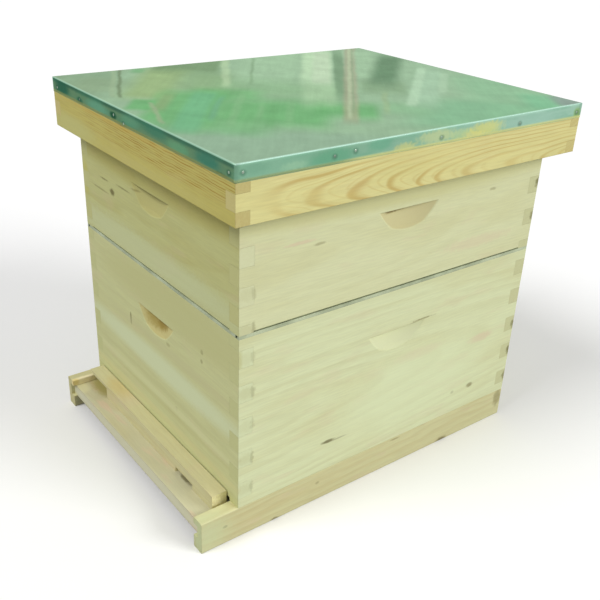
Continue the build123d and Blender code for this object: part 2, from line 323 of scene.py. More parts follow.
def paint_marks(place, colour, marks):
    """Tones round single places: full in the middle, with a ragged edge, nothing beyond its reach."""
    if not marks:
        return colour
    ragged_edge = minus(ripple(spread(place, ragged_scale)), 0.5)
    for centre, reach, dark, share, ragged in marks:
        scaled = vector_calc("DIVIDE", vector_calc("SUBTRACT", place, centre), reach)
        distance = plus(length(scaled), times(ragged_edge, ragged))
        colour = mix(ease(distance, mark_core, 1.0, share, 0.0), colour, dark)
    return colour


def marks_on(axis, face, depth, spots):
    """Marks on one face: place and reach along its two sides, then tone, share and raggedness."""
    marks = ()
    for first, second, wide, high, *look in spots:
        centre, reach = [first, second], [wide, high]
        centre.insert("xyz".index(axis), face)
        reach.insert("xyz".index(axis), depth)
        marks += ((centre, reach, *look),)
    return marks


print("a mark is full up to", mark_core, "of its reach")

# %% [markdown]
# The rest of pine is noise, drawn out along the grain: patches where the rings show more or less,
# a warm blush, fibres, and short dark dashes. Ends of boards are darker and full of pores, and
# worn edges lose their colour. One function mixes it all for one board.

# %% Pine
wood_rose = 222, 196, 168
close_ring_share = 0.42
patch_scales = 0.006, 0.03
blush_scales = 0.006, 0.02
rose_scale = 2.3
fibre_scales = 0.03, 0.45
dash_scales = 0.04, 0.5
pore_scale = 0.35
blush_share, seam_share = 0.4, 0.22
edge_round = 1.0
pine_roughness = 0.60, 0.76


def grain_place(lengths, scales, seed=None):
    """A place for noise that is drawn out along the grain. Without a seed it goes through the wood."""
    along, across, deep = lengths
    third = times(deep, scales[1]) if seed is None else seed
    return combine(times(along, scales[0]), times(across, scales[1]), third)


def ringed_colour(parts, lengths, summer, board):
    """Spring and summer wood, stronger here and fainter there, with a warm blush."""
    seed = board["seed"]
    patches = ripple(grain_place(lengths, board.get("patch", patch_scales), seed), 1.0)
    strength = ease(patches, 0.3, 0.7, board.get("faintest", 0.3), 1.0)
    for axis, start, end, low, high in board.get("fades", ()):
        strength = times(strength, ease(parts[axis], start, end, low, high))
    ring_share = times(times(summer, strength), board["rings"])
    colour = mix(ring_share, board["pale"], board["dark"])
    blush_place = grain_place(lengths, blush_scales, seed + 7)
    blush = ease(ripple(blush_place, 3.0), 0.42, 0.72)
    colour = mix(times(blush, blush_share), colour, board["blush"])
    rose = ease(ripple(spread(blush_place, rose_scale)), 0.56, 0.72)
    return mix(times(rose, board.get("rose_share", 0.14)), colour, wood_rose)


def end_grain(tree, place, colour, board):
    """Another colour, with pores, where a surface looks along the grain."""
    facing_end = calc("ABSOLUTE", facing(tree)["xyz".index(board["grain"])])
    end_share = ease(facing_end, 0.75, 0.9, 0.0, board.get("end_share", 0.3))
    pores = ease(ripple(spread(place, pore_scale)), 0.35, 0.65, 0.0, board.get("end_pores", 0.3))
    return mix(end_share, colour, mix(pores, board["end"], board["dark"]))


def worn_edges(tree, colour, soft_edge, board):
    """The end's colour on edges, found where a rounded edge turns away from the flat face."""
    flat = add(tree, "NewGeometry").outputs["True Normal"]
    turned = join("VectorMath", {0: soft_edge, 1: flat}, operation="DOT_PRODUCT").outputs[1]
    return mix(ease(turned, 0.995, 0.85, 0.0, seam_share), colour, board["end"])


def pine(name, board):
    """Pine for one board. Its grain runs along one axis, and its thinnest side along another."""
    material, tree, shader = start_material(name)
    place, parts = millimetres(tree)
    grain, thin = board["grain"], board["thin"]
    wide = ({"x", "y", "z"} - {grain, thin}).pop()
    lengths = parts[grain], parts[wide], parts[thin]
    summer = growth_rings(lengths, board)
    if "fine" in board:
        closer = board | {"spacing": board["spacing"] * close_ring_share, "seed": board["seed"] + 3}
        close = growth_rings(lengths, closer)
        summer = calc("MAXIMUM", summer, times(close, board["fine"]))
    colour = ringed_colour(parts, lengths, summer, board)
    fibre = ripple(grain_place(lengths, fibre_scales), 3.0, 0.6)
    contrast = board.get("fibre", 0.045)
    colour = shaded(colour, ease(fibre, 0.25, 0.75, 1.0 - contrast, 1.0 + contrast))
    dashes = ripple(grain_place(lengths, dash_scales), 1.0)
    colour = mix(ease(dashes, 0.72, 0.84, 0.0, board.get("dashes", 0.22)), colour, board["dark"])
    colour = end_grain(tree, place, colour, board)
    colour = tint_scoop(parts, colour, board.get("scoop"))
    colour = paint_marks(place, colour, board.get("marks", ()))
    soft_edge = rounded(tree, edge_round)
    feed(shader, {
        "Base Color": worn_edges(tree, colour, soft_edge, board),
        "Roughness": ease(fibre, 0.2, 0.8, *pine_roughness),
        "Specular IOR Level": 0.18,
        "Normal": relief(plus(times(summer, 0.4), fibre), 0.3, 0.2, Normal=soft_edge),
    })
    return material


def cut(batch, axes, seed, **own):
    """A board of a batch: the axes of its grain and of its thinnest side, and what is its own."""
    return batch | {"grain": axes[0], "thin": axes[1], "seed": seed} | own


def dress(node, material):
    """Puts one material on every slot of a construction node."""
    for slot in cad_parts[node].material_slots:
        slot.material = material


def dress_boards(boards):
    """Pine of its own for every board of a table."""
    for node, board in boards.items():
        dress(node, pine(f"pine {node}", board))


print("pine ready")

# %% [markdown]
# First the places where the boxes are marked: small knots, cracks and resin, bands along the
# grain, a dark bottom in each handhold, partly the cut wood and partly painted shade, with a
# painted shadow under its top edge, a band of painted shade under the roof's rim on the super,
# and brown corners where the fingers meet. Each row is a place along the wall and up, a reach
# along and up, a colour, its share and its raggedness.

# %% Marks of the boxes
knot_brown = 124, 112, 66
crack_brown = 96, 86, 44
corner_brown = 118, 114, 70
corner_tan = 188, 186, 134
face_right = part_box("brood_right")[1][0] / mm
face_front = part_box("brood_front")[0][1] / mm
corner_depth, spot_depth, band_depth, scoop_depth = 5, 6, 8, 9
scoop_back, side_scoop_back = 8, 7
near_corner = ((264, 0.3), (217, 0.5), (169, 0.3), (120, 0.5), (74, 0.4), (302, 0.6), (347, 0.35))
far_corner = ((395, 0.8), (345, 0.65), (168, 0.75), (121, 0.85), (74, 0.7))
corner_spots = ()
for height, share in near_corner:
    corner_spots += ((-221, height, 4, 11, corner_brown, share * 0.55, 1.6),
                     (-231, height, 16, 12, corner_tan, share * 0.6, 0.8))
for height, share in far_corner:
    corner_spots += ((264, height, 8, 10, corner_brown, share, 1),)
corner_marks = marks_on("x", face_right, corner_depth, corner_spots)
brood_front_marks_and_shade = marks_on("y", face_front, spot_depth, (
    (-76, 195, 3.2, 13, crack_brown, 0.85, 0.3),
    (34, 204, 7, 4, knot_brown, 0.3, 0.6),
    (123, 236, 4.5, 5, crack_brown, 0.55, 0.4),
    (122, 222, 4, 4, crack_brown, 0.4, 0.4),
    (52, 112, 4, 5, knot_brown, 0.2, 0.6),
    (46, 98, 30, 2.2, knot_brown, 0.18, 0.6),
)) + marks_on("y", face_front, band_depth, (
    (0, 158, 360, 26, (221, 229, 186), 0.9, 0.3),
    (60, 264, 320, 46, (203, 203, 145), 0.8, 0.3),
    (40, 192, 260, 12, (206, 204, 154), 0.6, 0.6),
    (0, 122, 320, 6, (203, 203, 149), 0.6, 0.6),
    (0, 108, 360, 8, (220, 221, 170), 0.7, 0.5),
    (40, 96, 280, 6, (203, 202, 146), 0.7, 0.6),
    (0, 75, 360, 8, (219, 214, 157), 0.6, 0.4),
)) + marks_on("y", face_front + scoop_back, scoop_depth, (
    # Painted shade in the handhold's deep top over its darker cut wood, and a painted shadow line under its top
    # edge
    (-10, 220, 46, 17, (160, 138, 58), 0.65, 0.6),
    (10, 222, 22, 13, (150, 126, 54), 0.7, 0.6),
    (20, 229, 34, 4, crack_brown, 0.5, 0.6),
))
super_front_marks_and_shade = marks_on("y", face_front, spot_depth, (
    (-111, 374, 9, 7, crack_brown, 0.8, 0.5),
    (-150, 368, 34, 2, crack_brown, 0.4, 0.8),
    (-135, 386, 18, 1.8, crack_brown, 0.55, 0.7),
    (-75, 389, 28, 1.8, crack_brown, 0.5, 0.7),
    (-34, 397, 24, 2.2, knot_brown, 0.5, 0.6),
    (14, 391, 16, 3, knot_brown, 0.3, 0.7),
)) + marks_on("y", face_front, band_depth, (
    (-198, 372, 14, 34, (204, 198, 96), 0.5, 0.4),
    (0, 312, 420, 40, (212, 220, 174), 0.4, 0.3),
    (-20, 318, 320, 24, (212, 220, 174), 0.4, 0.6),
    # Painted shade of the roof's rim: a darker band just below it
    (0, 426, 420, 34, (194, 184, 98), 0.52, 0.1),
)) + marks_on("y", face_front + scoop_back, scoop_depth, (
    # Painted shadow line under the handhold's top edge
    (0, 403, 50, 4.5, (128, 114, 54), 0.65, 0.4),
))
brood_right_marks = marks_on("x", face_right, spot_depth, (
    (181, 84, 9, 5.5, knot_brown, 0.7, 0.5),
    (143, 84, 5, 4, knot_brown, 0.35, 0.5),
    (-98, 93, 15, 3.4, crack_brown, 0.8, 0.5),
    (-82, 91, 22, 1.6, crack_brown, 0.4, 0.5),
    (60, 234.5, 26, 1.8, knot_brown, 0.6, 0.9),
    (42, 232, 9, 2, crack_brown, 0.55, 0.7),
    (60, 180, 60, 12, wood_rose, 0.3, 0.7),
    (190, 165, 34, 10, wood_rose, 0.5, 0.7),
)) + marks_on("x", face_right, band_depth, (
    (60, 130, 190, 90, (230, 240, 196), 0.45, 0.3),
))
super_right_marks_and_shade = marks_on("x", face_right, spot_depth, (
    # Painted shade of the roof's rim: a darker band just below it
    (0, 425, 420, 20, (208, 206, 148), 0.65, 0.2),
    (166.8, 402, 9, 3, knot_brown, 0.4, 0.6),
    (-130, 387, 12, 2.6, knot_brown, 0.4, 0.7),
    (-159, 394, 30, 3, wood_rose, 0.5, 0.7),
    (150, 330, 90, 12, wood_rose, 0.3, 0.7),
)) + marks_on("x", face_right - side_scoop_back, band_depth, (
    # Painted shadow line under the handhold's top edge
    (-2, 402.5, 34, 4, (120, 96, 44), 0.85, 0.4),
))
print("marks on the corners", len(corner_marks))

# %% [markdown]
# The boxes are the palest wood of the hive: dried sapwood, with rings so faint that they show as
# soft arches. Front and rear walls carry their grain across the hive, side walls along it, and at
# each corner the neighbour's fingers show their end grain. A wall's pith lies some way behind its
# face, and each wall gets a place of its own in the trunk. All are cut from one batch: it gives
# the common values, and each board names only what is different.

# %% Walls of the boxes
wall_batch = {
    "pith": (150, 40), "spacing": 11, "rings": 0.3, "wave": 30, "end_share": 1, "end_pores": 0.1,
    "pale": (224, 230, 185), "dark": (196, 192, 138), "blush": (214, 212, 160),
    "marks": corner_marks,
}
brood_front_end, super_front_end = (206, 208, 151), (203, 203, 142)
rear_end = {"end": (204, 205, 158), "end_share": 0.8, "end_pores": 0.3}
brood_scoop, super_scoop = 232.5, 406
front_scoop = "y", face_front, 1, "x", 0
right_scoop = "x", face_right, -1, "y", box_y / mm
# Each scoop's tone, after its height, is partly the cut wood's and partly painted shade
walls = {
    "brood_front": cut(wall_batch, "xy", 1, pith=(150, -190), lean=0.05, rings=0.22, end_pores=0.05,
                       pale=(212, 214, 159), blush=(206, 204, 148), end=(222, 229, 185),
                       marks=brood_front_marks_and_shade + corner_marks,
                       scoop=(*front_scoop, brood_scoop, (202, 188, 124), 0.75)),
    "brood_rear": cut(wall_batch, "xy", 2, pith=(200, 210), lean=0.04, **rear_end),
    "brood_left": cut(wall_batch, "yx", 3, pith=(120, -150), lean=0.03, end=brood_front_end),
    "brood_right": cut(wall_batch, "yx", 4, pith=(163, 175), lean=0.12, drift=-0.03, rings=0.26, wave=9,
                       spacing=15, end=brood_front_end, marks=brood_right_marks + corner_marks,
                       scoop=(*right_scoop, brood_scoop, (221, 225, 182), 0.95)),
    "super_front": cut(wall_batch, "xy", 5, pith=(390, -180), lean=-0.05, rings=0.25, end_pores=0.05,
                       pale=(202, 203, 141), dark=(176, 166, 96), blush=(195, 189, 122), end=(222, 225, 182),
                       marks=super_front_marks_and_shade + corner_marks,
                       scoop=(*front_scoop, super_scoop, (190, 182, 118), 0.6)),
    "super_rear": cut(wall_batch, "xy", 6, pith=(380, 205), lean=0.04, **rear_end),
    "super_left": cut(wall_batch, "yx", 7, pith=(400, -160), lean=0.03, end=super_front_end),
    "super_right": cut(wall_batch, "yx", 8, pith=(370, 150), lean=0.04, rings=0.18, spacing=15,
                       pale=(223, 226, 181), end=super_front_end, marks=super_right_marks_and_shade + corner_marks,
                       scoop=(*right_scoop, super_scoop, (204, 195, 145), 0.8)),
}
dress_boards(walls)
print("box walls", len(walls))

# %% [markdown]
# The roof's rim is a different board: sawn through strong, orange summer rings. On the long side
# they open into nested arches, because the cut runs nearly along the rings; on the short side
# they lie close and straight. A pith line that leans against the board gives the first, and a
# pith far behind a board cut across its rings gives the second.

# %% Rim of the roof
rim_batch = {
    "spacing": 4.6, "rings": 0.85, "fibre": 0.05, "wave": 9, "dashes": 0.2, "rose_share": 0.06,
    "end_share": 0.5, "crisp": 0.35, "fine": 0.35, "end": (196, 182, 120),
    "pale": (228, 221, 154), "dark": (202, 176, 104), "blush": (216, 206, 132),
}
rim_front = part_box("roof_front_rim")[0][1] / mm
rims = {
    "roof_front_rim": cut(
        rim_batch, "xy", 11, pith=(640, -215), spacing=2.9, drift=0.02, wave=4, wave_along=0.03, rings=0.95,
        pale=(204, 194, 112), dark=(164, 118, 36), blush=(196, 184, 98), faintest=0.2,
        patch=(0.03, 0.2), end=(204, 192, 130), end_share=0.9, end_pores=0.1,
        fades=(("z", 456, 466, 0.05, 1), ("x", -200, 0, 0.2, 1)),
        marks=marks_on("y", rim_front, spot_depth, (
            (-180, 452, 110, 22, (204, 206, 142), 0.5, 0.4),
            (40, 448, 200, 9, (206, 198, 124), 0.45, 0.4),
            (-40, 486, 190, 4, (204, 172, 84), 0.4, 0.9),
        ))),
    "roof_rear_rim": cut(rim_batch, "xy", 12, pith=(560, 240), spacing=3.8),
    "roof_left_rim": cut(rim_batch, "yx", 13, pith=(470, -190), lean=0.03),
    "roof_right_rim": cut(
        rim_batch, "yx", 14, pith=(452, 196.5), lean=-0.075, drift=0.035, wave=12, spacing=4.2, faintest=0.35,
        crisp=0.48, fades=(("y", -238, -186, 0.3, 1),)),
}
dress_boards(rims)
print("rim boards", len(rims))

# %% [markdown]
# The bottom board takes the weather and the bees' feet, and is made of plainer, tanner pine. Its
# rails run front to rear, its floor planks across. The loose entrance reducer is a sawn lath.

# %% Bottom board and entrance reducer
floor_end = 196, 186, 130
floor_batch = {
    "pith": (-60, 0), "spacing": 9, "rings": 0.28, "wave": 26, "end_share": 0.3, "rose_share": 0.3,
    "pale": (215, 212, 163), "dark": (190, 170, 112), "blush": (206, 194, 142), "end": floor_end,
}
rail_inside = -188
landing_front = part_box("floor_plank_1")[0][1] / mm
landing_top, reducer_top = 38, 56
rail_marks = marks_on("x", face_right, spot_depth, (
    (-260, 27, 5, 3, crack_brown, 0.5, 0.5),
    (132, 1, 15, 7, crack_brown, 0.75, 0.6),
    (-182, 1, 9, 4, crack_brown, 0.6, 0.6),
    (-112, 29, 5, 3, knot_brown, 0.35, 0.6),
    (30, 44, 16, 1.8, knot_brown, 0.5, 0.8),
)) + marks_on("x", face_right, band_depth, (
    (256, 34, 12, 22, knot_brown, 0.5, 0.5),
)) + marks_on("x", 198, 18, (
    (-286, 26, 56, 40, (210, 220, 172), 0.7, 0.3),
))
landing_marks_shade_and_light = marks_on("z", landing_top, 5, (
    (-176, -284, 22, 14, (226, 220, 172), 0.7, 0.4),
    # Painted shade on the landing, seen through the reducer's wide notch
    (-160, -256, 48, 21, (174, 164, 92), 0.85, 0.3),
    # Painted shade in the reducer's small notch
    (110, -261.5, 19, 4.5, (100, 92, 44), 0.7, 0.8),
)) + marks_on("y", landing_front, 3, (
    # Painted light: the landing board's front face made paler, as bright as its top
    (0, 28, 400, 14, (228, 226, 194), 0.85, 0.1),
))
lower_boards = {
    "left_rail": cut(floor_batch, "yx", 21, pith=(-30, -150), marks=marks_on("x", rail_inside, band_depth, (
        # Painted light on the rail's inner face, which stands in shade, with a yellower spot at its front end
        (-281, 44, 36, 16, (252, 240, 196), 1, 0.3),
        (-291, 44, 9, 9, (236, 208, 112), 0.6, 0.4),
    ))),
    "right_rail": cut(floor_batch, "yx", 22, pith=(-30, 160), marks=rail_marks, end=(203, 208, 156),
                      end_share=0.85),
    "floor_plank_1": cut(floor_batch, "xz", 23, pith=(-260, -60), rose_share=0.6, pale=(207, 204, 169),
                         marks=landing_marks_shade_and_light),
    "floor_plank_2": cut(floor_batch, "xz", 24, pith=(-90, -60)),
    "floor_plank_3": cut(floor_batch, "xz", 25, pith=(120, -60)),
    "upper_cleat": cut(floor_batch, "xy", 26, pith=(20, 200)),
    "lower_cleat": cut(floor_batch, "xy", 27, pith=(40, 200)),
    # The reducer's end faces are painted pale: painted light, as they stand in the rails' shade
    "entrance_reducer": cut(
        floor_batch, "xy", 28, pith=(90, -300), pale=(213, 208, 162), rings=0.15, end=(240, 234, 182),
        end_share=1, marks=marks_on("z", reducer_top, 12, ((-115, -250, 52, 22, (212, 184, 112), 0.45, 0.4),))),
}
dress_boards(lower_boards)
print("boards below the boxes", len(lower_boards))

# %% [markdown]
# Inside hang twenty frames of thin, clean pine, and above them lies the inner cover. They show
# only when the hive is opened. All frames of one box share a material: they are cut from one
# batch, and the pattern changes from frame to frame because it follows the place in the hive.

# %% Frames and inner cover
inner_batch = {
    "pith": (300, 60), "spacing": 5, "rings": 0.5, "end": floor_end,
    "pale": (222, 212, 166), "dark": (196, 168, 112), "blush": (214, 200, 148),
}
frame_pine = {
    "deep": pine("pine deep frames", cut(inner_batch, "yx", 31)),
    "medium": pine("pine medium frames", cut(inner_batch, "yx", 32)),
}
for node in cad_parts:
    for kind, material in frame_pine.items():
        if node.startswith(f"{kind}_frame_"):
            dress(node, material)
cover_boards = {
    "inner_front_rim": cut(inner_batch, "xz", 33, pith=(-200, 430)),
    "inner_rear_rim": cut(inner_batch, "xz", 34, pith=(200, 430)),
    "inner_left_rim": cut(inner_batch, "yz", 35, pith=(-200, 430)),
    "inner_right_rim": cut(inner_batch, "yz", 36, pith=(200, 430)),
    "inner_panel": cut(inner_batch, "yz", 37, pith=(0, 380), spacing=9),
    "roof_panel": cut(inner_batch, "yz", 38, pith=(40, 400), spacing=9),
}
dress_boards(cover_boards)
print("inner wood", len(cover_boards) + len(frame_pine), "materials")

# %% [markdown]
# Foundation is a thin sheet of wax or waxed plastic, pressed with a honeycomb so that the bees
# build straight. A honeycomb is two square-cornered lattices, one shifted by half a step: each
# point belongs to the nearer centre of the two, and the walls stand where both are as near.

# %% Foundation
cell_width = 5.4
cell_rise = cell_width * math.sqrt(3)
wall_foot, wall_top = 0.32, 0.52
wax_cloud_scale = 0.02


def foundation_material():
    """Honey-yellow wax with raised cell walls, painted paler as a highlight, on the sheets' broad sides."""
    material, tree, shader = start_material("waxed foundation")
    place, parts = millimetres(tree)
    distances = []
    for shift in (0.0, 0.5):
        wrapped = []
        for part, step in ((parts["y"], cell_width), (parts["z"], cell_rise)):
            cell = plus(calc("DIVIDE", part, step), shift)
            offset = minus(calc("FRACT", cell), 0.5)
            wrapped.append(times(offset, step))
        distances.append(length(combine(*wrapped, 0.0)))
    nearer = calc("MINIMUM", *distances)
    wall_height = ease(nearer, cell_width * wall_foot, cell_width * wall_top)
    tint = ease(ripple(spread(place, wax_cloud_scale)), 0.3, 0.7)
    wax = mix(tint, (226, 190, 104), (236, 206, 128))
    # Painted highlight: the raised cell walls paler than the cells
    colour = mix(times(wall_height, 0.6), wax, (246, 226, 164))
    feed(shader, {
        "Base Color": colour, "Roughness": 0.42, "Normal": relief(wall_height, 0.8, 0.8),
    })
    return material


wax_material = foundation_material()
for node in ("deep_foundations", "medium_foundations"):
    dress(node, wax_material)
print("cell pitch", cell_width, "mm")

# %% [markdown]
# Two other metals show: the folded zinc strip round the queen excluder, with the strips that
# carry the frames, and the excluder's wires. Both are dull galvanised steel: a metallic shader,
# fairly rough, clouded by noise at two sizes, so that no face is one flat grey.

# %% Zinc strip and wire
zinc_cloud_scale, zinc_grain_scale = 0.03, 0.6
strip_round = 0.5


def zinc(name, light, dull, roughness, metallic=0.85):
    """Dull galvanised steel with soft clouds and fine grain."""
    material, tree, shader = start_material(name)
    place, _ = millimetres(tree)
    clouds = ease(ripple(spread(place, zinc_cloud_scale), 3.0), 0.3, 0.7)
    grain = ripple(spread(place, zinc_grain_scale))
    colour = mix(clouds, light, dull)
    colour = mix(ease(grain, 0.4, 0.8, 0.0, 0.35), colour, dull)
    feed(shader, {
        "Base Color": colour,
        "Roughness": ease(grain, 0.2, 0.8, roughness - 0.06, roughness + 0.1),
        "Metallic": metallic,
        "Normal": relief(grain, 0.15, 0.1, Normal=rounded(tree, strip_round)),
    })
    return material


strip_material = zinc("zinc strip", (192, 202, 168), (160, 170, 138), 0.5, 0.2)
wire_material = zinc("plated wire", (190, 194, 188), (150, 156, 152), 0.32)
for node in ("excluder_band", "brood_front_rest", "brood_rear_rest", "super_front_rest", "super_rear_rest"):
    dress(node, strip_material)
for node in ("excluder_wires", "excluder_ties"):
    dress(node, wire_material)
print("zinc ready")

# %% [markdown]
# The roof's sheet is the one big metal surface, and flat metal never looks flat: it was bent by
# hand over a wooden panel, so it bulges by fractions of a millimetre, and every reflection bends
# with it. The construction model has a plain folded sheet. Here it is replaced by a thinner one
# of the same outer size: a fine grid for the top, its border turned down, the fold rounded.

# %% Sheet of the roof, shape
sheet_half = (roof_high - roof_low) / 2
sheet_middle = (roof_high + roof_low) / 2
sheet_skin = 0.2 * mm
sheet_inset = 0.2 * mm
grid_drop, top_band = 0.05 * mm, 0.5 * mm
top_dent, top_fade = 0.3 * mm, 25 * mm
apron_dent, apron_fade = 0.17 * mm, 8 * mm
sheet_cells = (60, 72)
apron_steps = 5
fold_radius = 1.0 * mm
fold_steps = 3


def dents(place, level, upright, shift):
    """Smooth noise from -1 to 1, stretched differently across and up."""
    return noise.noise(Vector((place.x * level, place.y * level, place.z * upright + shift)))


def within(share):
    """A share kept from 0 to 1."""
    return min(max(share, 0.0), 1.0)


def sheet_bulge(place):
    """How far a point of the sheet stands back from its true surface."""
    broad, short = dents(place, 7, 20, 3), dents(place, 26, 60, 9)
    if place.z > roof_high.z - top_band:
        edge = min(sheet_half.x - abs(place.x - sheet_middle.x), sheet_half.y - abs(place.y - sheet_middle.y))
        return Vector((0, 0, -1)) * within(edge / top_fade) * (0.5 + 0.5 * broad) * top_dent
    lower = within((roof_high.z - place.z) / apron_fade)
    depth = lower * within(0.5 + 0.4 * broad + 0.5 * short) * apron_dent
    outward = Vector((place.x - sheet_middle.x, place.y - sheet_middle.y, 0))
    if abs(outward.x) / sheet_half.x > abs(outward.y) / sheet_half.y:
        return Vector((-math.copysign(1, outward.x), 0, 0)) * depth
    return Vector((0, -math.copysign(1, outward.y), 0)) * depth


def mesh_object(shape, name):
    """Turns a shape worked out with mesh operators into an object of the scene."""
    mesh = bpy.data.meshes.new(name)
    shape.to_mesh(mesh)
    shape.free()
    return add_object(name, mesh)


def make_sheet():
    """The folded sheet as a mesh: grid, turned-down border, rounded fold, bulges, thickness."""
    shape = bmesh.new()
    bmesh.ops.create_grid(shape, x_segments=sheet_cells[0], y_segments=sheet_cells[1], size=1.0)
    half_x, half_y = sheet_half.x - sheet_inset, sheet_half.y - sheet_inset
    bmesh.ops.scale(shape, vec=(half_x, half_y, 1.0), verts=shape.verts)
    level = roof_high.z - grid_drop
    bmesh.ops.translate(shape, vec=(sheet_middle.x, sheet_middle.y, level), verts=shape.verts)
    border = [edge for edge in shape.edges if edge.is_boundary]
    fold = list(border)
    step = (roof_high.z - roof_low.z) / apron_steps
    for _ in range(apron_steps):
        turned = bmesh.ops.extrude_edge_only(shape, edges=border)["geom"]
        fresh = [item for item in turned if isinstance(item, bmesh.types.BMVert)]
        bmesh.ops.translate(shape, vec=(0, 0, -step), verts=fresh)
        border = [item for item in turned if isinstance(item, bmesh.types.BMEdge) and item.is_boundary]
    bmesh.ops.bevel(
        shape, geom=fold, offset=fold_radius, segments=fold_steps, profile=0.5, affect="EDGES", material=-1)
    bmesh.ops.recalc_face_normals(shape, faces=shape.faces)
    for vert in shape.verts:
        vert.co += sheet_bulge(vert.co)
    piece = mesh_object(shape, "roof_sheet_folded")
    piece.data.shade_smooth()
    skin = piece.modifiers.new("skin", "SOLIDIFY")
    skin.thickness = sheet_skin
    skin.offset = -1.0
    return piece


sheet = make_sheet()
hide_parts("roof_sheet")
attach(sheet, "roof")
print("sheet", len(sheet.data.vertices), "points")

# %% [markdown]
# The top of a galvanised sheet is half a mirror. This one shows greens and pale streaks that run
# towards the far corner, with a brighter band across the middle. They are painted reflections
# here: soft stripes in two turned directions, one along the streaks and one across, each with a
# place and a width in millimetres. The aprons get painted reflections too, blotched where they
# dent, and a ring of painted shade round each nail where the sheet dimples.

# %% Sheet of the roof, stripes and blotches
# The sheet's grey, and colours of the painted reflections on its top
zinc_grey = 155, 184, 154
reflected_green = 113, 176, 117
reflected_dark = 115, 150, 119
reflected_pale = 162, 192, 160

# Each stripe of painted reflection: colour, share, from and to across the streaks, from and to
# along them, softness across, softness along, and for some, how far they lean to the side for each
# millimetre along
stripes = (
    ((140, 166, 137), 0.8, -400, -262, -400, 400, 14, 30),
    ((150, 178, 153), 0.9, -200, 90, -400, -214, 40, 24),
    ((155, 178, 125), 0.75, -236, -172, -90, 110, 18, 30),
    ((142, 172, 128), 0.7, -176, -96, -40, 96, 30, 40),
    ((144, 166, 134), 0.55, -310, -236, -60, 20, 18, 20),
    ((130, 184, 146), 0.6, 120, 300, -170, -16, 40, 34, 0.35),
    (reflected_pale, 0.8, -105, -16, 20, 310, 12, 40),
    ((138, 176, 134), 0.55, -120, 60, -60, 50, 30, 50),
    ((136, 184, 140), 0.5, 96, 160, -110, -50, 20, 30),
    ((142, 188, 151), 0.6, 220, 330, -20, 150, 30, 50),
    ((132, 190, 152), 0.7, 296, 344, -50, 34, 14, 20),
    (reflected_green, 0.8, -190, -100, -206, -40, 12, 30),
    (reflected_green, 0.8, -106, 30, -196, -66, 18, 36),
    (reflected_green, 0.5, -170, -40, -240, -190, 24, 22),
    ((148, 170, 126), 0.65, -186, -168, -150, -50, 7, 24),
    (reflected_green, 0.6, -150, -60, -70, -10, 18, 20),
    (reflected_green, 0.8, 16, 92, -140, -66, 9, 30),
    (reflected_green, 0.8, -216, -186, -148, -94, 6, 10),
    ((122, 180, 140), 0.75, -148, -116, -236, -40, 7, 22),
    ((122, 172, 146), 0.5, -112, -104, -180, -60, 4, 22),
    ((140, 182, 138), 0.5, -88, -78, -200, -40, 4, 22),
    ((140, 182, 138), 0.5, -58, -50, -170, -90, 4, 22),
    ((116, 170, 118), 0.5, -44, -34, -200, -80, 4, 22),
    ((140, 182, 138), 0.4, -22, -12, -190, -60, 4, 22),
    ((120, 172, 124), 0.7, -254, -236, 70, 96, 6, 8),
    ((122, 150, 112), 0.8, -230, -130, 86, 210, 10, 34),
    ((177, 201, 164), 0.7, -115, -103, 10, 205, 4, 20, -0.11),
    ((118, 148, 112), 0.5, -79, -75, 30, 230, 3, 20, -0.05),
    ((188, 214, 180), 0.85, -8, 37, 60, 330, 7, 70),
    ((176, 204, 168), 0.5, -4, 40, -80, 60, 9, 50),
    ((187, 207, 179), 0.8, 8, 35, 50, 300, 5, 30),
    ((125, 155, 124), 0.85, 41, 57, -20, 320, 3, 60),
    ((168, 166, 142), 0.65, 47, 66, -160, 380, 4, 24, 0.03),
    ((140, 168, 134), 0.5, 60, 63, -100, 380, 2, 20, 0.03),
    ((180, 196, 164), 0.7, 53, 58, -140, 380, 2.5, 20, 0.03),
    (reflected_pale, 0.7, 76, 106, 100, 330, 6, 22),
    ((140, 168, 134), 0.7, 76, 140, 0, 90, 10, 30),
    ((112, 144, 114), 0.95, 88, 128, 60, 310, 12, 60, 0.13),
    ((170, 200, 173), 0.6, 134, 172, -60, 200, 11, 60, 0.165),
    ((178, 206, 177), 0.8, 131, 145, -60, 196, 4, 16, 0.165),
    ((170, 198, 169), 0.75, 182, 194, 20, 164, 4, 10, 0.165),
    ((158, 180, 140), 0.5, 98, 106, -110, 10, 3, 20, 0.05),
    ((116, 134, 104), 0.75, -236, -231, -90, 88, 2.5, 8, -0.215),
    ((158, 180, 147), 0.6, -246, -239, -90, 96, 3, 8, -0.215),
    ((160, 176, 144), 0.7, -163, -157, -206, -108, 3, 8, -0.333),
    ((142, 157, 151), 0.8, 338, 400, -30, 30, 10, 10),
)
